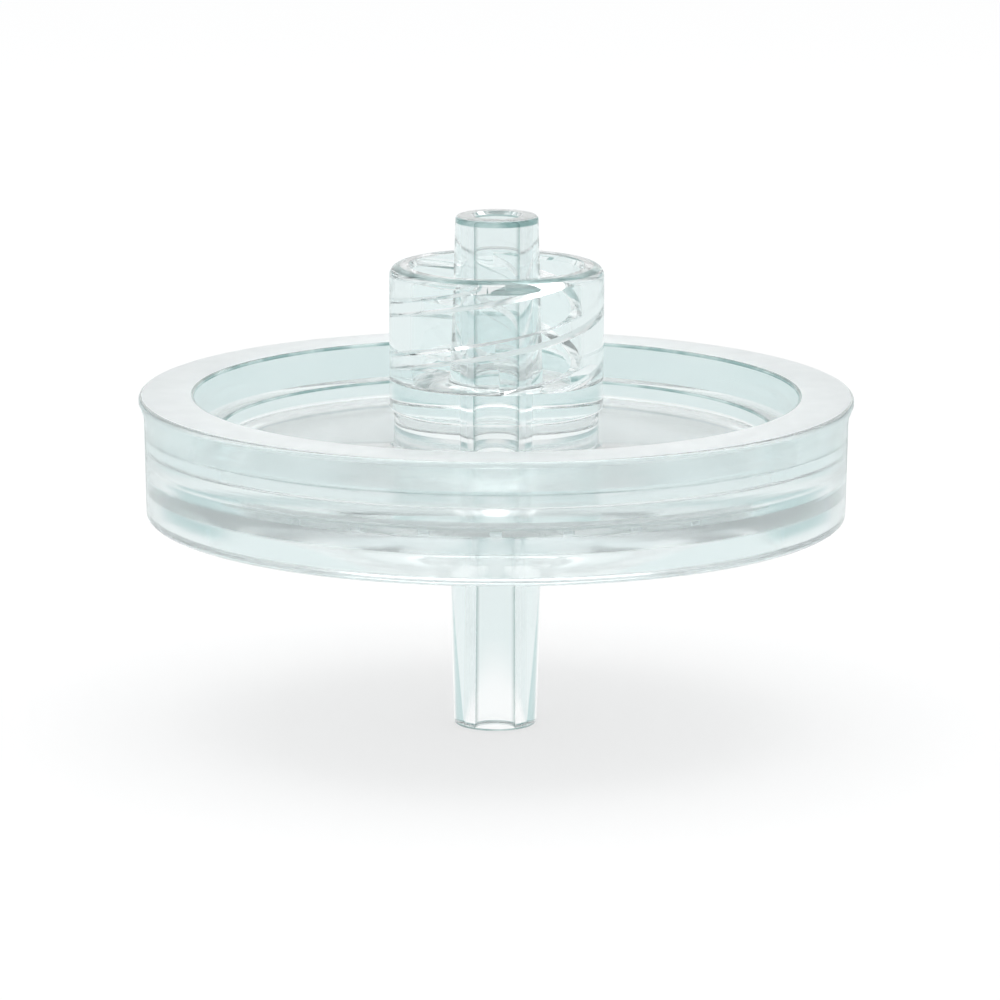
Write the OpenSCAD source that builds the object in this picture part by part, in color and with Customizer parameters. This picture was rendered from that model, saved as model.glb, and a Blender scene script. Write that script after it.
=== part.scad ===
// Flat disc syringe filter: a membrane clamped between two moulded housings,
// with a moulded ring that wraps their edges and holds them shut.
// The lower nozzle is a plain luer slip taper. The upper one is a luer cone
// inside a collar with a two-start internal lock thread.
// Millimetres, +Z up, origin at the centre of the lower nozzle's tip face.

/* [Membrane and flow space] */
// Diameter of the membrane
membrane_d = 25.8; // [20:0.1:32]
// Thickness of the membrane
membrane_t = 0.15; // [0.1:0.01:0.3]
// Width of the membrane's margin that the plates clamp
clamp_w = 0.8; // [0.5:0.05:1.2]
// Height of the space above the membrane
inlet_space_h = 0.2; // [0.1:0.05:0.4]
// Depth of the drain channels below the membrane
drain_depth = 0.35; // [0.2:0.05:0.5]
// Number of ribs that run in to the outlet, with a short rib after each
long_ribs = 12; // [6:1:16]
// Width of each rib
rib_w = 0.5; // [0.3:0.05:0.7]
// Width of the open channel round the outer ends of the ribs
gutter_w = 0.5; // [0.3:0.05:0.8]
// Clearance of the membrane in its seat, and of the tongue in its groove
seat_gap = 0.05; // [0.03:0.01:0.1]

/* [Plates] */
// Thickness of the upper plate over the flow space
upper_plate_t = 0.7; // [0.6:0.05:1.1]
// Thickness of the lower plate at the edge of its cone
lower_plate_t = 0.75; // [0.6:0.05:1.1]
// Drop of the lower plate's cone from its edge to the nozzle
hub_drop = 3; // [0.5:0.1:4]
// Width of the lower plate from the membrane's seat to the ring's lower window
plate_margin = 0.55; // [0.3:0.05:1]
// Distance from the membrane's seat out to the step up to the upper flange
step_margin = 0.25; // [0.15:0.05:0.6]
// Height of the upper flange's top above the plate's face
flange_rise = 0.8; // [0.4:0.05:1.2]
// Rounding of the step's upper edge
step_round = 0.12; // [0.05:0.01:0.2]
// Width of the upper flange's top that the ring's window leaves open
ledge_w = 1.25; // [0.6:0.05:1.6]
// How far the plates' flanges reach into the ring from its upper window
flange_grip = 0.95; // [0.7:0.05:1.3]
// Width of the upper flange's tongue
tongue_w = 0.6; // [0.4:0.05:0.8]
// Height of the tongue
tongue_h = 0.3; // [0.2:0.05:0.45]

/* [Rim ring] */
// Width of the ring from its lower window to its wall just under the lip
ring_w = 3.35; // [2.7:0.05:4.2]
// Height of the ring from its lower edge to its top face
ring_h = 5.85; // [4.8:0.05:7.2]
// Mould draft of the outer wall, and of the upper window, over their height
ring_draft = 0.1; // [0.05:0.05:0.3]
// How far the lip at the top stands out from the wall
lip_w = 0.25; // [0.1:0.05:0.5]
// Height of the lip's upright edge, with its rounding
lip_edge_h = 0.3; // [0.25:0.05:0.5]
// Height of the lip's sloping underside
lip_slope_h = 0.65; // [0.3:0.05:1]
// Depth of the upper plate's face below the ring's top
recess_depth = 2.5; // [1.8:0.05:2.9]
// Rounding of the ring's outer edges
ring_round = 0.2; // [0.1:0.05:0.24]
// Rounding of the ring's window edges
window_round = 0.15; // [0.05:0.01:0.2]

/* [Luer cones] */
// Diameter at the tip of both cones
luer_tip_d = 3.95; // [3.92:0.01:4.02]
// Growth of the diameter per millimetre away from the tip
luer_taper = 0.06; // [0.058:0.001:0.062]

/* [Lock cone] */
// How far the cone stands out of the collar's mouth
cone_proud = 2.4; // [2.1:0.1:3.2]
// Rounding of the cone's tip
cone_round = 0.18; // [0.1:0.01:0.4]
// Width of the chamfer round the bore's mouth
bore_chamfer = 0.15; // [0.05:0.05:0.3]
// Diameter of the cone's bore
cone_bore_d = 2.2; // [1.8:0.1:2.6]

/* [Lock collar] */
// Height of the collar's mouth above the ring's top
collar_rise = 6.2; // [5:0.1:7.5]
// Depth from the mouth to the floor of the thread's cavity
collar_depth = 5.55; // [5:0.05:5.9]
// Wall of the collar outside the thread's root
collar_wall = 1.05; // [0.8:0.05:1.4]
// How far the collar's wall reaches below the ring's top
collar_skirt = 0.75; // [0.3:0.05:1.2]
// Step from the collar's wall in to the neck under it
neck_step = 0.22; // [0.2:0.02:0.4]
// Rounding of the wall's lower outer edge
skirt_round = 0.18; // [0.05:0.01:0.19]
// Rounding of the mouth's outer edge
mouth_round = 0.5; // [0.2:0.05:0.6]
// Width of the lead-in chamfer at the mouth
mouth_chamfer = 0.15; // [0.05:0.05:0.25]

/* [Lock thread] */
// Root diameter of the internal thread
thread_root_d = 8.15; // [7.9:0.05:8.3]
// Height of the ridges above the root
thread_h = 0.52; // [0.4:0.01:0.6]
// Advance of one ridge in a full turn
thread_lead = 5; // [4:0.25:6]
// Number of ridges
thread_starts = 2; // [1:1:2]
// Width of a ridge at its foot
ridge_foot_w = 1; // [0.8:0.05:1.2]
// Width of a ridge at its crest
ridge_crest_w = 0.45; // [0.3:0.05:0.6]
// Angle at which the first ridge runs out of the mouth
thread_angle = -31; // [-180:1:180]

/* [Slip nozzle] */
// Length of the nozzle below the ring's lower edge
nozzle_len = 10.35; // [8:0.05:12.5]
// Diameter of the bore at the tip
nozzle_bore_tip_d = 1.9; // [1.4:0.1:2.2]
// Diameter of the bore at the membrane
nozzle_bore_root_d = 1.8; // [1.2:0.1:2]
// Rounding of the nozzle's tip
nozzle_round = 0.12; // [0.05:0.01:0.2]
// Fillet where the nozzle meets the lower plate's cone
nozzle_fillet = 0.4; // [0.2:0.05:0.8]

/* [Hidden] */
$fn = 96;

// Levels, from the slip nozzle's tip upwards
z_edge = nozzle_len;
z_rim = z_edge + ring_h;
z_floor = z_rim - recess_depth;
z_ledge = z_floor + flange_rise;
z_ceiling = z_floor - upper_plate_t;
z_seam = z_ceiling - inlet_space_h;
z_seat = z_seam - membrane_t;
z_drain = z_seat - drain_depth;
z_under = z_drain - lower_plate_t;
z_hub = z_under - hub_drop;
z_mouth = z_rim + collar_rise;
z_cavity = z_mouth - collar_depth;
z_skirt = z_rim - collar_skirt;
z_tip = z_mouth + cone_proud;

// Radii of the disc, from the membrane outwards
seat_r = membrane_d / 2 + seat_gap;
flow_r = membrane_d / 2 - clamp_w;
window_r = seat_r + plate_margin;
step_r = seat_r + step_margin;
top_window_r = step_r + ledge_w;
flange_r = top_window_r + flange_grip;
tongue_r = (seat_r + flange_r) / 2;
ring_r = window_r + ring_w;

// Radii of the two connectors
tip_r = luer_tip_d / 2;
cone_foot_r = tip_r + (z_tip - z_cavity) * luer_taper / 2;
nozzle_foot_r = tip_r + z_hub * luer_taper / 2;
root_r = thread_root_d / 2;
crest_r = root_r - thread_h;
collar_r = root_r + collar_wall;
neck_r = collar_r - neck_step;
cone_bore_r = cone_bore_d / 2;

// Small shapes that several modules share
inner_fillet = 0.2;
bore_flare = 0.4;
sink_r = nozzle_bore_root_d / 2 + bore_flare;
ridge_sink = 0.15;
over = 1;

// Slopes of the cones' sides and of the lower plate's cone, in degrees
taper_angle = atan(luer_taper / 2);
hub_angle = atan(hub_drop / (window_r - nozzle_foot_r));

// What lies between a corner at [x, z] and the arc of radius r that rounds it.
// a and b are the directions of the two edges that leave the corner, with the
// arc between them. Taken away it rounds an outer corner, and added it fills
// an inner one.
module arc_corner(x, z, r, a, b) {
    mid = (a + b) / 2;
    half = (b - a) / 2;
    centre = [x, z] + r / sin(half) * [cos(mid), sin(mid)];
    run = r / tan(half);
    difference() {
        polygon([
            [x, z] - r * [cos(mid), sin(mid)],
            [x, z] + run * [cos(a), sin(a)],
            centre,
            [x, z] + run * [cos(b), sin(b)]
        ]);
        translate(centre) circle(r);
    }
}

// Outline of the upper housing: cone, cavity, collar, neck, plate, the step up
// to its flange, and the flange with its tongue
module upper_section() {
    tongue_in = tongue_r - tongue_w / 2;
    tongue_out = tongue_r + tongue_w / 2;
    difference() {
        union() {
            polygon([
                [0, z_tip], [tip_r, z_tip],
                [cone_foot_r, z_cavity], [root_r, z_cavity],
                [root_r, z_mouth - 2 * mouth_chamfer], [root_r + mouth_chamfer, z_mouth],
                [collar_r, z_mouth], [collar_r, z_skirt],
                [neck_r, z_skirt], [neck_r, z_floor],
                [step_r, z_floor], [step_r, z_ledge],
                [flange_r, z_ledge], [flange_r, z_seam],
                [tongue_out, z_seam], [tongue_out, z_seam - tongue_h],
                [tongue_in, z_seam - tongue_h], [tongue_in, z_seam],
                [flow_r, z_seam], [flow_r, z_ceiling], [0, z_ceiling]
            ]);
            arc_corner(cone_foot_r, z_cavity, inner_fillet, 0, 90 + taper_angle);
            arc_corner(root_r, z_cavity, inner_fillet, 90, 180);
            arc_corner(neck_r, z_floor, inner_fillet, 0, 90);
            arc_corner(step_r, z_floor, inner_fillet, 90, 180);
        }
        arc_corner(tip_r, z_tip, cone_round, 180, 270 + taper_angle);
        arc_corner(collar_r, z_mouth, mouth_round, 180, 270);
        arc_corner(collar_r, z_skirt, skirt_round, 90, 180);
        arc_corner(step_r, z_ledge, step_round, 270, 360);
    }
}

// Bore of the lock cone, chamfered at the tip and flared over the membrane
module cone_bore_section() {
    polygon([
        [0, z_ceiling - over], [cone_bore_r + bore_flare, z_ceiling - over],
        [cone_bore_r + bore_flare, z_ceiling], [cone_bore_r, z_ceiling + bore_flare],
        [cone_bore_r, z_tip - bore_chamfer],
        [cone_bore_r + bore_chamfer + over, z_tip + over], [0, z_tip + over]
    ]);
}

// One ridge of the lock thread, swept as a helix from above the mouth to below
// the cavity's floor. Its section runs from the foot, sunk in the wall, to the
// crest.
module thread_ridge(angle) {
    step = 6;
    drop = thread_lead * step / 360;
    steps = ceil((collar_depth + 2 * ridge_foot_w) / drop);
    section = [
        [root_r + ridge_sink, -ridge_foot_w / 2], [root_r + ridge_sink, ridge_foot_w / 2],
        [crest_r, ridge_crest_w / 2], [crest_r, -ridge_crest_w / 2]
    ];
    start = angle + ridge_foot_w / thread_lead * 360;
    points = [
        for (i = [0:steps], p = section)
            let (a = start - i * step)
                [p[0] * cos(a), p[0] * sin(a), z_mouth + ridge_foot_w - i * drop + p[1]]
    ];
    sides = [
        for (i = [0:steps - 1], j = [0:3])
            let (a = 4 * i + j, b = 4 * i + (j + 1) % 4)
                each [[a, a + 4, b + 4], [a, b + 4, b]]
    ];
    last = 4 * steps;
    ends = [[0, 1, 2], [0, 2, 3], [last, last + 2, last + 1], [last, last + 3, last + 2]];
    polyhedron(points, concat(sides, ends));
}

// All the ridges, ended at the cavity's floor and at a slope under the mouth
module lock_thread() {
    inner = crest_r - over;
    outer = root_r + ridge_sink;
    top = z_mouth - 2 * mouth_chamfer;
    intersection() {
        for (i = [0:thread_starts - 1])
            thread_ridge(thread_angle + i * 360 / thread_starts);
        rotate_extrude()
            polygon([
                [inner, z_cavity - ridge_sink], [outer, z_cavity - ridge_sink],
                [outer, top], [root_r, top], [inner, top - (root_r - inner)]
            ]);
    }
}

module upper_housing() {
    color("LightCyan", 0.45)
        difference() {
            union() {
                rotate_extrude() upper_section();
                lock_thread();
            }
            rotate_extrude() cone_bore_section();
        }
}

// Outline of the lower housing: slip nozzle, shallow cone, flange with the
// tongue's groove, and the membrane's seat
module lower_section() {
    groove_in = tongue_r - tongue_w / 2 - seat_gap;
    groove_out = tongue_r + tongue_w / 2 + seat_gap;
    z_groove = z_seam - tongue_h - seat_gap;
    difference() {
        union() {
            polygon([
                [0, 0], [tip_r, 0], [nozzle_foot_r, z_hub],
                [window_r, z_under], [flange_r, z_under], [flange_r, z_seam],
                [groove_out, z_seam], [groove_out, z_groove],
                [groove_in, z_groove], [groove_in, z_seam],
                [seat_r, z_seam], [seat_r, z_seat], [0, z_seat]
            ]);
            arc_corner(nozzle_foot_r, z_hub, nozzle_fillet, -90 - taper_angle, hub_angle);
        }
        arc_corner(tip_r, 0, nozzle_round, 90 - taper_angle, 180);
    }
}

// Bars that stay standing when the drain space is cut: long ones that the
// outlet's sink ends, and short ones between
module rib_bars() {
    turn = 360 / long_ribs;
    inner = sink_r / 2;
    outer = flow_r - gutter_w;
    middle = (sink_r + outer) / 2;
    for (i = [0:long_ribs - 1]) {
        rotate(i * turn) translate([inner, -rib_w / 2, z_drain - over])
            cube([outer - inner, rib_w, drain_depth + 2 * over]);
        rotate((i + 0.5) * turn) translate([middle, -rib_w / 2, z_drain - over])
            cube([outer - middle, rib_w, drain_depth + 2 * over]);
    }
}

// Bore of the slip nozzle, widening to the tip, with a sink at the membrane
module nozzle_bore_section() {
    grow = (nozzle_bore_tip_d - nozzle_bore_root_d) / 2 / z_drain;
    polygon([
        [0, -over], [nozzle_bore_tip_d / 2 + grow * over, -over],
        [nozzle_bore_root_d / 2 + grow * bore_flare, z_drain - bore_flare],
        [sink_r, z_drain], [sink_r, z_seat + over], [0, z_seat + over]
    ]);
}

module lower_housing() {
    color("PaleTurquoise", 0.45)
        difference() {
            rotate_extrude() lower_section();
            difference() {
                translate([0, 0, z_drain]) cylinder(h = drain_depth + over / 2, r = flow_r);
                rib_bars();
            }
            rotate_extrude() nozzle_bore_section();
        }
}

// Outline of the ring: drafted wall, lip, windows above and below the plates,
// and the groove that holds both flanges
module ring_section() {
    foot_r = ring_r - ring_draft;
    lip_r = ring_r + lip_w;
    draft_angle = atan(ring_draft / (z_rim - z_ledge));
    difference() {
        polygon([
            [window_r, z_edge], [foot_r, z_edge],
            [ring_r, z_rim - lip_edge_h - lip_slope_h], [lip_r, z_rim - lip_edge_h],
            [lip_r, z_rim], [top_window_r, z_rim], [top_window_r - ring_draft, z_ledge],
            [flange_r, z_ledge], [flange_r, z_under], [window_r, z_under]
        ]);
        arc_corner(lip_r, z_rim, ring_round, 180, 270);
        arc_corner(foot_r, z_edge, ring_round, 90, 180);
        arc_corner(top_window_r, z_rim, window_round, 270 - draft_angle, 360);
        arc_corner(window_r, z_edge, window_round, 0, 90);
    }
}

module rim_ring() {
    color("PowderBlue", 0.45) rotate_extrude() ring_section();
}

module membrane() {
    color("White") translate([0, 0, z_seat]) cylinder(h = membrane_t, d = membrane_d);
}

upper_housing();
lower_housing();
rim_ring();
membrane();
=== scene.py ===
import math

import bpy
from mathutils import Matrix, Vector


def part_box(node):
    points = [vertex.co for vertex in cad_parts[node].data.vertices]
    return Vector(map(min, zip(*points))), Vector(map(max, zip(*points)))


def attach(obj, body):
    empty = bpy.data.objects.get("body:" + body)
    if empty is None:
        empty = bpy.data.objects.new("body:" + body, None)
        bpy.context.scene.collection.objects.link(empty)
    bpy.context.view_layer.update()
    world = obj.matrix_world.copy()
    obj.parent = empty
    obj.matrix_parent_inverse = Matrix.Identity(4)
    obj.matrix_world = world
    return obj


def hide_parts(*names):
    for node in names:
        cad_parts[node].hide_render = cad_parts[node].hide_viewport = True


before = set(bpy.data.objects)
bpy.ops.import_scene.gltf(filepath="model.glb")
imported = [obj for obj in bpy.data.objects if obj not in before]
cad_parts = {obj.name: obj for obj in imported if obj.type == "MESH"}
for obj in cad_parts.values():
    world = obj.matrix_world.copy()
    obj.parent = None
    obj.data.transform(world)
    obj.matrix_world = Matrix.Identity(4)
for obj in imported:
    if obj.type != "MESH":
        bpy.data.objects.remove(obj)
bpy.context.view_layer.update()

# Sizes and places are in metres.
MM = 0.001
SEGMENTS = 288
TOUCH = 0.01 * MM
WELD = 0.001 * MM

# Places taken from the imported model.
RING_LOW, RING_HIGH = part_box("rim_ring")
UPPER_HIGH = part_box("upper_housing")[1]
LOWER_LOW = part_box("lower_housing")[0]
FILM_LOW, FILM_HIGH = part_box("membrane")

# Heights, depths and thicknesses.
RECESS_DEPTH = 2.5 * MM
FLANGE_RISE = 0.8 * MM
UPPER_PLATE_T = 0.7 * MM
DRAIN_DEPTH = 0.35 * MM
LOWER_PLATE_T = 0.75 * MM
HUB_DROP = 3.0 * MM
CONE_PROUD = 2.4 * MM
COLLAR_DEPTH = 5.55 * MM
COLLAR_SKIRT = 0.75 * MM
LIP_EDGE_H = 0.3 * MM
LIP_SLOPE_H = 0.65 * MM

# Levels, from the nozzle's tip upwards.
Z_FOOT = LOWER_LOW.z
Z_TIP = UPPER_HIGH.z
Z_EDGE = RING_LOW.z
Z_RIM = RING_HIGH.z
Z_SEAT = FILM_LOW.z
Z_SEAM = FILM_HIGH.z
Z_FLOOR = Z_RIM - RECESS_DEPTH
Z_LEDGE = Z_FLOOR + FLANGE_RISE
Z_CEILING = Z_FLOOR - UPPER_PLATE_T
Z_DRAIN = Z_SEAT - DRAIN_DEPTH
Z_UNDER = Z_DRAIN - LOWER_PLATE_T
Z_HUB = Z_UNDER - HUB_DROP
Z_MOUTH = Z_TIP - CONE_PROUD
Z_CAVITY = Z_MOUTH - COLLAR_DEPTH
Z_SKIRT = Z_RIM - COLLAR_SKIRT

# Widths across the ring and the plates.
LIP_W = 0.25 * MM
DRAFT = 0.1 * MM
RING_W = 3.35 * MM
SEAT_GAP = 0.05 * MM
STEP_MARGIN = 0.25 * MM
LEDGE_W = 1.25 * MM
CLAMP_W = 0.8 * MM

# Radii of the disc.
LIP_R = RING_HIGH.y
WALL_R = LIP_R - LIP_W
WINDOW_R = WALL_R - RING_W
SEAT_R = FILM_HIGH.x + SEAT_GAP
STEP_R = SEAT_R + STEP_MARGIN
TOP_WINDOW_R = STEP_R + LEDGE_W
FLOW_R = FILM_HIGH.x - CLAMP_W

# Radii of the two connectors. TAPER is a cone's growth in radius over its length.
TAPER = 0.03
CONE_TIP_R = 1.975 * MM
CONE_FOOT_R = CONE_TIP_R + (Z_TIP - Z_CAVITY) * TAPER
NOZZLE_FOOT_R = CONE_TIP_R + (Z_HUB - Z_FOOT) * TAPER
THREAD_ROOT_R = 4.075 * MM
COLLAR_WALL = 1.05 * MM
NECK_STEP = 0.22 * MM
COLLAR_R = THREAD_ROOT_R + COLLAR_WALL
NECK_R = COLLAR_R - NECK_STEP
CONE_BORE_R = 1.1 * MM
NOZZLE_BORE_TIP_R = 0.95 * MM
NOZZLE_BORE_ROOT_R = 0.9 * MM
BORE_FLARE = 0.4 * MM
SINK_R = NOZZLE_BORE_ROOT_R + BORE_FLARE

# Lock thread.
THREAD_HEIGHT = 0.52 * MM
THREAD_CREST_R = THREAD_ROOT_R - THREAD_HEIGHT
THREAD_LEAD = 5.0 * MM
THREAD_STARTS = 2
THREAD_ANGLE = math.radians(-31)
RIDGE_FOOT_W = 1.0 * MM
RIDGE_CREST_W = 0.45 * MM
RIDGE_SINK = 0.15 * MM

# Ribs under the membrane.
LONG_RIBS = 12
RIB_W = 0.5 * MM
RIB_SINK = 0.1 * MM
GUTTER_W = 0.5 * MM
RIB_END_R = FLOW_R - GUTTER_W

# Rounds, fillets and chamfers.
MOUTH_CHAMFER = 0.15 * MM
BORE_CHAMFER = 0.15 * MM
MOUTH_ROUND = 0.5 * MM
CONE_ROUND = 0.18 * MM
STEP_ROUND = 0.12 * MM
INNER_FILLET = 0.2 * MM
RING_ROUND = 0.2 * MM
WINDOW_ROUND = 0.15 * MM
NOZZLE_ROUND = 0.12 * MM
NOZZLE_FILLET = 0.4 * MM
# Height of the band at the cone's tip that has its own row of faces.
TIP_BAND = 0.33 * MM

# Where the finishes change. The last three say how far a face's normal points up: at
# most UPRIGHT for a wall, past FLAT for a level face and under FACES_DOWN for a face
# that looks down.
RING_SKIN_R = TOP_WINDOW_R - 1.5 * DRAFT
RING_UNDERSIDE_R = WINDOW_R + 0.5 * MM
UPRIGHT = 0.5
FLAT = 0.999
FACES_DOWN = -0.4


# ---------------------------------------------------------------- hand tools
def deselect_all():
    for thing in bpy.context.selected_objects:
        thing.select_set(False)


def work_on(piece):
    """Makes piece the only selected object and the active one."""
    deselect_all()
    piece.select_set(True)
    bpy.context.view_layer.objects.active = piece


def start_point(name, x, z):
    """A new piece that is one selected point in the XZ plane, left in edit mode."""
    deselect_all()
    bpy.ops.mesh.primitive_plane_add(size=MM, location=(0, 0, 0))
    piece = bpy.context.object
    piece.name = piece.data.name = name
    bpy.ops.object.mode_set(mode="EDIT")
    bpy.ops.mesh.select_mode(type="VERT")
    bpy.ops.mesh.select_all(action="SELECT")
    bpy.ops.mesh.merge(type="CENTER")
    bpy.ops.transform.translate(value=(x, 0, z))
    return piece


def draw_outline(name, corners):
    """A closed flat face in the XZ plane, extruded from point to point."""
    piece = start_point(name, *corners[0])
    for here, there in zip(corners, corners[1:]):
        step = (there[0] - here[0], 0, there[1] - here[1])
        bpy.ops.mesh.extrude_region_move(TRANSFORM_OT_translate={"value": step})
    bpy.ops.mesh.select_all(action="SELECT")
    bpy.ops.mesh.edge_face_add()
    bpy.ops.object.mode_set(mode="OBJECT")
    return piece


def pick_points(piece, places):
    """Selects piece's points that lie at any of the (x, z) places, in edit mode."""
    work_on(piece)
    bpy.ops.object.mode_set(mode="EDIT")
    bpy.ops.mesh.select_mode(type="VERT")
    bpy.ops.mesh.select_all(action="DESELECT")
    bpy.ops.object.mode_set(mode="OBJECT")
    for point in piece.data.vertices:
        point.select = any(
            math.hypot(point.co.x - x, point.co.z - z) < TOUCH for x, z in places
        )
    bpy.ops.object.mode_set(mode="EDIT")


def round_corners(piece, places, radius, steps):
    """Bevels corners of a flat outline into arcs."""
    pick_points(piece, places)
    bpy.ops.mesh.bevel(offset=radius, segments=steps, affect="VERTICES")
    bpy.ops.object.mode_set(mode="OBJECT")


def spin_closed(piece):
    """Spins a closed outline all the way round the Z axis into a solid."""
    work_on(piece)
    bpy.ops.object.mode_set(mode="EDIT")
    bpy.ops.mesh.select_all(action="SELECT")
    bpy.ops.mesh.delete(type="ONLY_FACE")
    bpy.ops.mesh.select_all(action="SELECT")
    bpy.ops.mesh.spin(
        steps=SEGMENTS, angle=2 * math.pi, center=(0, 0, 0), axis=(0, 0, 1)
    )
    bpy.ops.mesh.select_all(action="SELECT")
    bpy.ops.mesh.remove_doubles(threshold=WELD)
    bpy.ops.mesh.normals_make_consistent(inside=False)
    bpy.ops.object.mode_set(mode="OBJECT")


def combine(piece, other, operation):
    """Joins other to piece, or keeps what they share, and removes other."""
    work_on(piece)
    bpy.ops.object.modifier_add(type="BOOLEAN")
    modifier = piece.modifiers[-1]
    modifier.operation = operation
    modifier.object = other
    modifier.solver = "EXACT"
    bpy.ops.object.modifier_apply(modifier=modifier.name)
    bpy.data.objects.remove(other)


def shade(piece, angle):
    """Smooth shading, with creases where faces meet at more than angle degrees."""
    work_on(piece)
    bpy.ops.object.shade_smooth_by_angle(angle=math.radians(angle))


# ---------------------------------------------------------------- clear body
def body_outline():
    """Half section of the welded body: both housings and the ring in one."""
    corners = [
        (CONE_BORE_R, Z_TIP - BORE_CHAMFER),
        (CONE_BORE_R + BORE_CHAMFER, Z_TIP),
        (CONE_TIP_R, Z_TIP),
        (CONE_TIP_R + TIP_BAND * TAPER, Z_TIP - TIP_BAND),
        (CONE_FOOT_R, Z_CAVITY),
        (THREAD_ROOT_R, Z_CAVITY),
        (THREAD_ROOT_R, Z_MOUTH - 2 * MOUTH_CHAMFER),
        (THREAD_ROOT_R + MOUTH_CHAMFER, Z_MOUTH),
        (COLLAR_R, Z_MOUTH),
        (COLLAR_R, Z_SKIRT),
        (NECK_R, Z_SKIRT),
        (NECK_R, Z_FLOOR),
        (STEP_R, Z_FLOOR),
        (STEP_R, Z_LEDGE),
        (TOP_WINDOW_R - DRAFT, Z_LEDGE),
        (TOP_WINDOW_R, Z_RIM),
        (LIP_R, Z_RIM),
        (LIP_R, Z_RIM - LIP_EDGE_H),
        (WALL_R, Z_RIM - LIP_EDGE_H - LIP_SLOPE_H),
        (WALL_R - DRAFT, Z_EDGE),
        (WINDOW_R, Z_EDGE),
        (WINDOW_R, Z_UNDER),
        (NOZZLE_FOOT_R, Z_HUB),
        (CONE_TIP_R, Z_FOOT),
        (NOZZLE_BORE_TIP_R, Z_FOOT),
        (NOZZLE_BORE_ROOT_R, Z_DRAIN - BORE_FLARE),
        (SINK_R, Z_DRAIN),
        (FLOW_R, Z_DRAIN),
        (FLOW_R, Z_SEAT),
        (SEAT_R, Z_SEAT),
        (SEAT_R, Z_SEAM),
        (FLOW_R, Z_SEAM),
        (FLOW_R, Z_CEILING),
        (CONE_BORE_R + BORE_FLARE, Z_CEILING),
        (CONE_BORE_R, Z_CEILING + BORE_FLARE),
    ]
    inner_corners = [
        (CONE_FOOT_R, Z_CAVITY),
        (THREAD_ROOT_R, Z_CAVITY),
        (NECK_R, Z_FLOOR),
        (STEP_R, Z_FLOOR),
        (COLLAR_R, Z_SKIRT),
    ]
    # Each row has the corners, the radius of their arcs and the steps in an arc.
    rounds = [
        ([(COLLAR_R, Z_MOUTH)], MOUTH_ROUND, 8),
        ([(CONE_TIP_R, Z_TIP)], CONE_ROUND, 6),
        (inner_corners, INNER_FILLET, 4),
        ([(LIP_R, Z_RIM), (WALL_R - DRAFT, Z_EDGE)], RING_ROUND, 5),
        ([(TOP_WINDOW_R, Z_RIM), (WINDOW_R, Z_EDGE)], WINDOW_ROUND, 4),
        ([(STEP_R, Z_LEDGE)], STEP_ROUND, 4),
        ([(NOZZLE_FOOT_R, Z_HUB)], NOZZLE_FILLET, 5),
        ([(CONE_TIP_R, Z_FOOT)], NOZZLE_ROUND, 3),
    ]
    piece = draw_outline("clear_body", corners)
    for places, radius, steps in rounds:
        round_corners(piece, places, radius, steps)
    return piece


def thread_ridge(turned):
    """One helical ridge from under the cavity's floor to above the mouth."""
    half_foot = RIDGE_FOOT_W / 2
    half_crest = RIDGE_CREST_W / 2
    foot_r = THREAD_ROOT_R + RIDGE_SINK
    ridge = draw_outline(
        "ridge",
        [
            (foot_r, -half_foot),
            (foot_r, half_foot),
            (THREAD_CREST_R, half_crest),
            (THREAD_CREST_R, -half_crest),
        ],
    )
    turns = (Z_MOUTH - Z_CAVITY + 2 * RIDGE_FOOT_W) / THREAD_LEAD
    start = THREAD_ANGLE + turned + (RIDGE_FOOT_W / THREAD_LEAD - turns) * 2 * math.pi
    bpy.ops.object.mode_set(mode="EDIT")
    bpy.ops.mesh.select_all(action="SELECT")
    bpy.ops.mesh.delete(type="ONLY_FACE")
    bpy.ops.object.mode_set(mode="OBJECT")
    bpy.ops.object.modifier_add(type="SCREW")
    sweep = ridge.modifiers[-1]
    sweep.angle = turns * 2 * math.pi
    sweep.screw_offset = turns * THREAD_LEAD
    sweep.steps = sweep.render_steps = round(SEGMENTS * turns / 2)
    bpy.ops.object.modifier_apply(modifier=sweep.name)
    bpy.ops.object.mode_set(mode="EDIT")
    bpy.ops.mesh.select_all(action="SELECT")
    bpy.ops.mesh.fill_holes(sides=4)
    bpy.ops.mesh.normals_make_consistent(inside=False)
    bpy.ops.object.mode_set(mode="OBJECT")
    ridge.rotation_euler.z = start
    ridge.location.z = Z_CAVITY - RIDGE_FOOT_W
    bpy.ops.object.transform_apply(location=True, rotation=True, scale=False)
    return ridge


def lock_thread():
    """All the ridges, ended at the cavity's floor and at a slope under the mouth."""
    top = Z_MOUTH - 2 * MOUTH_CHAMFER
    outer = THREAD_ROOT_R + RIDGE_SINK
    inner = THREAD_CREST_R - RIDGE_SINK
    limit = draw_outline(
        "thread_limit",
        [
            (inner, Z_CAVITY - RIDGE_SINK),
            (outer, Z_CAVITY - RIDGE_SINK),
            (outer, top),
            (THREAD_ROOT_R, top),
            (inner, top - (THREAD_ROOT_R - inner)),
        ],
    )
    spin_closed(limit)
    ridges = [
        thread_ridge(i * 2 * math.pi / THREAD_STARTS) for i in range(THREAD_STARTS)
    ]
    deselect_all()
    for ridge in ridges:
        ridge.select_set(True)
    bpy.context.view_layer.objects.active = ridges[0]
    bpy.ops.object.join()
    combine(ridges[0], limit, "INTERSECT")
    return ridges[0]


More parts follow.
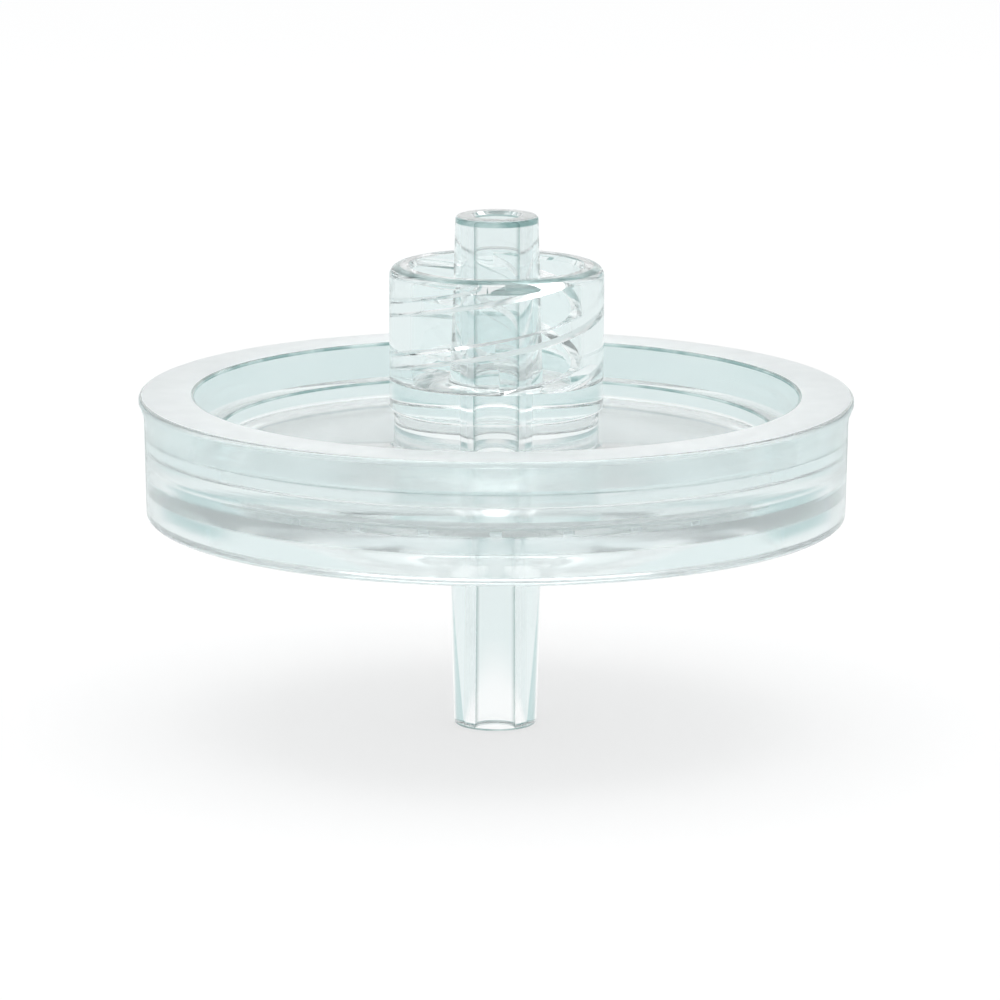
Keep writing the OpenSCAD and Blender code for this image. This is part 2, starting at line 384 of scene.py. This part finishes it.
def rib_set(name, inner_r, first_angle):
    """Ribs spaced evenly round the axis, standing on the drain's floor."""
    length = RIB_END_R - inner_r
    height = Z_SEAT - Z_DRAIN + RIB_SINK
    deselect_all()
    bpy.ops.mesh.primitive_cube_add(
        size=1, location=(inner_r + length / 2, 0, Z_SEAT - height / 2)
    )
    rib = bpy.context.object
    rib.name = rib.data.name = name
    bpy.ops.object.mode_set(mode="EDIT")
    bpy.ops.mesh.select_all(action="SELECT")
    bpy.ops.transform.resize(value=(length, RIB_W, height))
    bpy.ops.object.mode_set(mode="OBJECT")
    bpy.ops.object.transform_apply(location=True, rotation=True, scale=True)
    rib.rotation_euler.z = first_angle
    bpy.ops.object.transform_apply(location=False, rotation=True, scale=False)
    bpy.ops.object.mode_set(mode="EDIT")
    bpy.ops.mesh.select_all(action="SELECT")
    bpy.ops.mesh.spin(
        steps=LONG_RIBS,
        dupli=True,
        angle=2 * math.pi,
        center=(0, 0, 0),
        axis=(0, 0, 1),
    )
    bpy.ops.mesh.select_all(action="SELECT")
    bpy.ops.mesh.remove_doubles(threshold=WELD)
    bpy.ops.mesh.normals_make_consistent(inside=False)
    bpy.ops.object.mode_set(mode="OBJECT")
    return rib


def give_finish(piece, finish, wanted):
    """Adds a finish and puts it on each face for which wanted(face, r, z) is true."""
    work_on(piece)
    piece.data.materials.append(finish)
    bpy.ops.object.mode_set(mode="EDIT")
    bpy.ops.mesh.select_mode(type="FACE")
    bpy.ops.mesh.select_all(action="DESELECT")
    bpy.ops.object.mode_set(mode="OBJECT")
    for face in piece.data.polygons:
        r = math.hypot(face.center.x, face.center.y)
        face.select = wanted(face, r, face.center.z)
    bpy.ops.object.mode_set(mode="EDIT")
    piece.active_material_index = len(piece.data.materials) - 1
    bpy.ops.object.material_slot_assign()
    bpy.ops.object.mode_set(mode="OBJECT")


def on_bore(face, r, z):
    """The walls of both bores."""
    return r < CONE_BORE_R + TOUCH and abs(face.normal.z) < UPRIGHT


def on_ring(face, r, z):
    """The ring's own skin: its wall, lip, upper window and underside."""
    return r > RING_SKIN_R or (z < Z_UNDER and r > RING_UNDERSIDE_R)


def on_ring_top(face, r, z):
    """The ring's flat top."""
    return r > TOP_WINDOW_R and z > Z_RIM - TOUCH


def on_plate(face, r, z):
    """The top of the upper plate, between the neck and the step."""
    return NECK_R < r < TOP_WINDOW_R and abs(z - Z_FLOOR) < TOUCH


def on_painted_shade_edge(face, r, z):
    """The small rounds and the thread's undersides, which get painted dark shade."""
    if abs(face.normal.z) > FLAT:
        return False
    # Each row has a radius and a level, and how far from that place a round reaches.
    rounds = [
        (CONE_TIP_R, Z_TIP - 0.6 * TIP_BAND, 0.4 * TIP_BAND),
        (COLLAR_R - MOUTH_ROUND, Z_MOUTH, 0.75 * MOUTH_ROUND),
        (TOP_WINDOW_R, Z_RIM, 1.1 * WINDOW_ROUND),
        (STEP_R, Z_LEDGE, 1.1 * STEP_ROUND),
        (CONE_TIP_R, Z_FOOT, 1.1 * NOZZLE_ROUND),
    ]
    rounded = any(
        math.hypot(r - at_r, z - at_z) < reach for at_r, at_z, reach in rounds
    )
    threaded = Z_CAVITY + 2 * INNER_FILLET < z < Z_MOUTH - 2 * MOUTH_CHAMFER
    on_ridge = threaded and THREAD_CREST_R < r < THREAD_ROOT_R
    return rounded or (on_ridge and face.normal.z < FACES_DOWN)


def clear_body():
    """The whole clear moulding. Its joints are fused, so light crosses them unbent."""
    piece = body_outline()
    spin_closed(piece)
    combine(piece, lock_thread(), "UNION")
    half_turn = math.pi / LONG_RIBS
    combine(piece, rib_set("long_ribs", SINK_R + RIB_W / 2, 0), "UNION")
    combine(piece, rib_set("short_ribs", (SINK_R + RIB_END_R) / 2, half_turn), "UNION")
    shade(piece, angle=25)
    piece.data.materials.append(connector_plastic())
    # The bores' walls get painted shade where they are seen edge on.
    give_finish(piece, bore_plastic_painted_limb_shade(), on_bore)
    give_finish(piece, plate_plastic(), on_plate)
    give_finish(piece, ring_plastic(), on_ring)
    # The ring's top gets painted shade, greyer where seen straight on.
    give_finish(piece, ring_top_painted_shade(), on_ring_top)
    # The small rounds and the thread's undersides get painted dark shade.
    give_finish(piece, edge_painted_shade(), on_painted_shade_edge)
    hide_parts("upper_housing", "lower_housing", "rim_ring")
    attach(piece, "root")


# ---------------------------------------------------------------- membrane
def membrane_film():
    """The film, a hair thinner than its place, with a pinhole at the axis."""
    pinhole_r = 0.05 * MM
    top, bottom = Z_SEAM - TOUCH, Z_SEAT + TOUCH
    piece = draw_outline(
        "membrane_film",
        [
            (pinhole_r, top),
            (FILM_HIGH.x, top),
            (FILM_HIGH.x, bottom),
            (pinhole_r, bottom),
        ],
    )
    spin_closed(piece)
    shade(piece, angle=40)
    piece.data.materials.append(porous_film())
    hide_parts("membrane")
    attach(piece, "root")


# ---------------------------------------------------------------- node helpers
def new_material(name):
    material = bpy.data.materials.new(name)
    material.use_nodes = True
    return material, material.node_tree, material.node_tree.nodes["Principled BSDF"]


def calculate(tree, operation, first, second=None):
    """Maths on other nodes' outputs. The second one may be a plain number."""
    node = tree.nodes.new("ShaderNodeMath")
    node.operation = operation
    tree.links.new(first, node.inputs[0])
    if isinstance(second, float):
        node.inputs[1].default_value = second
    elif second is not None:
        tree.links.new(second, node.inputs[1])
    return node.outputs[0]


def ease(tree, value, start, end):
    """Runs smoothly from 0 to 1 while value goes from start to end."""
    node = tree.nodes.new("ShaderNodeMapRange")
    node.interpolation_type = "SMOOTHSTEP"
    node.inputs["From Min"].default_value = start
    node.inputs["From Max"].default_value = end
    tree.links.new(value, node.inputs["Value"])
    return node.outputs["Result"]


def ramp(tree, value, low, high, span=(0, 1)):
    """Colour that runs from low to high while value crosses the span."""
    node = tree.nodes.new("ShaderNodeValToRGB")
    for stop, place, tone in zip(node.color_ramp.elements, span, (low, high)):
        stop.position = place
        stop.color = tone
    tree.links.new(value, node.inputs["Fac"])
    return node.outputs["Color"]


def blend(tree, share, first, second):
    """Two shaders in one. The share is how much of the second shows."""
    node = tree.nodes.new("ShaderNodeMixShader")
    for socket, value in zip(node.inputs, (share, first, second)):
        tree.links.new(value, socket)
    return node.outputs[0]


def bent_light(tree, path):
    """1 for light that comes off or through the plastic, or else 0."""
    glossy, through = path.outputs["Is Glossy Ray"], path.outputs["Is Transmission Ray"]
    return calculate(tree, "MAXIMUM", glossy, through)


# ---------------------------------------------------------------- finishes
PLASTIC_IOR = 1.57
# The noise's levels between which a finish runs from its low to its high value.
GRAIN_SPAN = (0.3, 0.7)


def plastic(name, clearness, tint=(1, 1, 1, 1)):
    """Clear moulded plastic. The tint acts each time light crosses its surface."""
    material, tree, shader = new_material(name)
    shader.inputs["Base Color"].default_value = tint
    shader.inputs["Transmission Weight"].default_value = clearness
    shader.inputs["IOR"].default_value = PLASTIC_IOR
    return material, tree, shader


def noise(tree, across, along=None, detail=3):
    """Noise on the object's own coordinates, in grains per metre across the axis and
    along it. One number serves for both."""
    place = tree.nodes.new("ShaderNodeTexCoord")
    stretch = tree.nodes.new("ShaderNodeMapping")
    stretch.inputs["Scale"].default_value = (across, across, along or across)
    tree.links.new(place.outputs["Object"], stretch.inputs["Vector"])
    grain = tree.nodes.new("ShaderNodeTexNoise")
    grain.inputs["Scale"].default_value = 1
    grain.inputs["Detail"].default_value = detail
    tree.links.new(stretch.outputs["Vector"], grain.inputs["Vector"])
    return grain.outputs["Fac"]


def slope(tree):
    """0 where a surface is looked at straight on and 1 where it is seen edge on."""
    return tree.nodes.new("ShaderNodeLayerWeight").outputs["Facing"]


def tones(tree, shader, value, low, high, span=GRAIN_SPAN):
    """Base colour that runs from low to high."""
    colour = ramp(tree, value, low, high, span)
    tree.links.new(colour, shader.inputs["Base Color"])


def haze(tree, shader, grain, low, high):
    """Roughness that runs from low to high with the grain."""
    spread = tree.nodes.new("ShaderNodeMapRange")
    spread.inputs["From Min"].default_value = GRAIN_SPAN[0]
    spread.inputs["From Max"].default_value = GRAIN_SPAN[1]
    spread.inputs["To Min"].default_value = low
    spread.inputs["To Max"].default_value = high
    tree.links.new(grain, spread.inputs["Value"])
    tree.links.new(spread.outputs["Result"], shader.inputs["Roughness"])


def relief(tree, shader, grain, depth):
    """Shallow unevenness of the surface, in metres, that follows the grain."""
    bump = tree.nodes.new("ShaderNodeBump")
    bump.inputs["Distance"].default_value = depth
    tree.links.new(grain, bump.inputs["Height"])
    tree.links.new(bump.outputs["Normal"], shader.inputs["Normal"])


def connector_plastic():
    """Crisp, polished plastic, for all that has no finish of its own: the cones, the
    collar, the neck, the lower plate and inside the body."""
    material, tree, shader = plastic("connector_plastic", clearness=1)
    deep, pale = (0.968, 0.997, 0.998, 1), (0.982, 1, 1, 1)
    tones(tree, shader, noise(tree, 300, detail=1), deep, pale)
    shader.inputs["Roughness"].default_value = 0
    return material


def bore_plastic_painted_limb_shade():
    """The bores' walls, with painted shade: darker teal where they curve away from
    view.
    """
    material, tree, shader = plastic("bore_plastic_painted_limb_shade", clearness=0.97)
    pale, deep = (0.995, 1, 1, 1), (0.1, 0.21, 0.2, 1)
    # Painted shade: the colour turns dark teal where the wall is seen edge on.
    tones(tree, shader, slope(tree), pale, deep, span=(0.4, 0.75))
    haze(tree, shader, noise(tree, 300, detail=1), 0.01, 0.03)
    return material


def plate_plastic():
    """The upper plate's face, smooth and a little milky."""
    tint = (0.955, 0.99, 0.992, 1)
    material, tree, shader = plastic("plate_plastic", clearness=0.65, tint=tint)
    haze(tree, shader, noise(tree, 200), 0.05, 0.1)
    return material


def ring_plastic():
    """The thick ring, drawn into faint level streaks by its mould."""
    tint = (0.9, 0.978, 0.98, 1)
    material, tree, shader = plastic("ring_plastic", clearness=0.92, tint=tint)
    streak = noise(tree, across=120, along=2500)
    haze(tree, shader, streak, 0.07, 0.16)
    relief(tree, shader, streak, 0.004 * MM)
    return material


def ring_top_painted_shade():
    """The ring's flat top, matt, with painted shade: greyer where looked at straight
    on, and whiter the more level it is looked at.
    """
    material, tree, shader = plastic("ring_top_painted_shade", clearness=0.5)
    deep, pale = (0.79, 0.84, 0.845, 1), (0.93, 0.975, 0.98, 1)
    # Painted shade: the colour follows how squarely the top is seen.
    tones(tree, shader, slope(tree), deep, pale, span=(0.2, 0.8))
    haze(tree, shader, noise(tree, 900), 0.3, 0.4)
    return material


def edge_painted_shade():
    """Painted shade on the rounded edges and the thread's undersides: deep teal, in
    patches.
    """
    material, tree, shader = plastic("edge_painted_shade", clearness=0.8)
    patches = noise(tree, 450)
    deep, pale = (0.12, 0.26, 0.25, 1), (0.5, 0.67, 0.66, 1)
    # Painted shade: patches of deep and paler teal stand in for the dark lines along
    # edges.
    tones(tree, shader, patches, deep, pale, span=(0.42, 0.62))
    haze(tree, shader, patches, 0.05, 0.1)
    return material


def porous_film():
    """Thin white membrane with a fine, even grain."""
    material, tree, shader = new_material("porous_film")
    deep, pale = (0.97, 0.985, 0.985, 1), (0.99, 0.995, 0.995, 1)
    tones(tree, shader, noise(tree, 6000, detail=4), deep, pale)
    shader.inputs["Roughness"].default_value = 0.8
    return material


# ---------------------------------------------------------------- studio
WHITE = (1, 1, 1, 1)
ROOM_LIGHT = 0.75

# The band low in the room's corners. A corner's nearness is the product of the two
# level parts of a direction, and the band's heights are a direction's upward part.
BAND_TONE = (0.5, 0.66, 0.66, 1)
BAND_TOP = 0.16
BAND_FOOT = 0.05
CORNER_START = 0.2
CORNER_FULL = 0.42

FLOOR_SIZE = 6
FLOOR_DROP = 0.05 * MM
FLOOR_PAINT = (0.97, 0.975, 0.98, 1)
FLOOR_FAR = (0.81, 0.88, 0.88, 1)
FLOOR_FAR_START = 30 * MM
FLOOR_FAR_FULL = 70 * MM
SHADOW_SHARE = 0.32

LAMP_SIZE = 0.5
LAMP_POWER = 0.85
LAMP_PLACE = (0, 0.02, 0.4)

CAMERA_DISTANCE = 300 * MM
CAMERA_ELEVATION = math.radians(10.65)
CAMERA_AIM_DROP = 5.249 * MM
CAMERA_ROLL = 0.0035
CAMERA_LENS = 225.73
CAMERA_SHIFT = 0.004

BOUNCES = 64


def studio_world():
    """A white room. The lens sees plain white, and the light on the object is a plain
    level. What shines on and through the plastic has a teal band low down in the four
    corners, where the walls meet."""
    world = bpy.data.worlds.new("studio")
    bpy.context.scene.world = world
    world.use_nodes = True
    tree = world.node_tree
    nodes, link = tree.nodes, tree.links.new

    where = nodes.new("ShaderNodeTexCoord")
    direction = nodes.new("ShaderNodeSeparateXYZ")
    link(where.outputs["Generated"], direction.inputs[0])
    x, y, z = (direction.outputs[axis] for axis in "XYZ")
    nearness = calculate(tree, "ABSOLUTE", calculate(tree, "MULTIPLY", x, y))
    in_corner = ease(tree, nearness, CORNER_START, CORNER_FULL)
    low = ease(tree, z, BAND_TOP, BAND_FOOT)
    band = calculate(tree, "MULTIPLY", in_corner, low)

    light = nodes["Background"]
    light.inputs["Color"].default_value = (ROOM_LIGHT, ROOM_LIGHT, ROOM_LIGHT, 1)
    room = nodes.new("ShaderNodeBackground")
    link(ramp(tree, band, WHITE, BAND_TONE), room.inputs["Color"])
    white = nodes.new("ShaderNodeBackground")
    white.inputs["Color"].default_value = WHITE

    path = nodes.new("ShaderNodeLightPath")
    lit = blend(tree, bent_light(tree, path), light.outputs[0], room.outputs[0])
    seen = blend(tree, path.outputs["Is Camera Ray"], lit, white.outputs[0])
    link(seen, nodes["World Output"].inputs["Surface"])


def studio_floor():
    """A white floor. The lens sees it white with part of the object's shadow, and the
    plastic bends a floor that turns greyer away from the object."""
    deselect_all()
    bpy.ops.mesh.primitive_plane_add(
        size=FLOOR_SIZE, location=(0, 0, Z_FOOT - FLOOR_DROP)
    )
    floor = bpy.context.object
    floor.name = "floor"
    bpy.ops.object.transform_apply(location=True, rotation=True, scale=True)
    material, tree, shader = new_material("white_floor")
    nodes, link = tree.nodes, tree.links.new
    shader.inputs["Base Color"].default_value = FLOOR_PAINT
    shader.inputs["Roughness"].default_value = 1
    shader.inputs["Specular IOR Level"].default_value = 0

    where = nodes.new("ShaderNodeTexCoord")
    away = nodes.new("ShaderNodeVectorMath")
    away.operation = "LENGTH"
    link(where.outputs["Object"], away.inputs[0])
    far = ease(tree, away.outputs["Value"], FLOOR_FAR_START, FLOOR_FAR_FULL)
    through = nodes.new("ShaderNodeEmission")
    link(ramp(tree, far, WHITE, FLOOR_FAR), through.inputs["Color"])
    white = nodes.new("ShaderNodeEmission")

    path = nodes.new("ShaderNodeLightPath")
    plain = calculate(tree, "MULTIPLY", path.outputs["Is Camera Ray"], 1 - SHADOW_SHARE)
    shaded = blend(tree, plain, shader.outputs[0], white.outputs[0])
    seen = blend(tree, bent_light(tree, path), shaded, through.outputs[0])
    link(seen, nodes["Material Output"].inputs["Surface"])
    floor.data.materials.append(material)


def overhead_lamp():
    """A round soft lamp over the object, which makes its shadow."""
    lamp = bpy.data.lights.new("overhead", "AREA")
    lamp.shape = "DISK"
    lamp.size = LAMP_SIZE
    lamp.energy = LAMP_POWER
    holder = bpy.data.objects.new("overhead", lamp)
    holder.location = LAMP_PLACE
    bpy.context.scene.collection.objects.link(holder)


def camera():
    """A long lens in front of the object, a little above it."""
    aim = Vector((0, 0, Z_RIM - CAMERA_AIM_DROP))
    back = CAMERA_DISTANCE * math.cos(CAMERA_ELEVATION)
    up = CAMERA_DISTANCE * math.sin(CAMERA_ELEVATION)
    eye = Vector((0, -back, Z_RIM + up))
    data = bpy.data.cameras.new("camera")
    data.sensor_width = 36
    data.lens = CAMERA_LENS
    data.shift_x = CAMERA_SHIFT
    data.clip_start = 0.01
    data.clip_end = 20
    holder = bpy.data.objects.new("camera", data)
    holder.matrix_world = (
        Matrix.Translation(eye)
        @ (aim - eye).to_track_quat("-Z", "Y").to_matrix().to_4x4()
        @ Matrix.Rotation(CAMERA_ROLL, 4, "Z")
    )
    bpy.context.scene.collection.objects.link(holder)
    bpy.context.scene.camera = holder


clear_body()
membrane_film()
studio_world()
studio_floor()
overhead_lamp()
camera()

scene = bpy.context.scene
scene.view_settings.view_transform = "Standard"
scene.cycles.max_bounces = BOUNCES
scene.cycles.transmission_bounces = BOUNCES
scene.cycles.glossy_bounces = BOUNCES
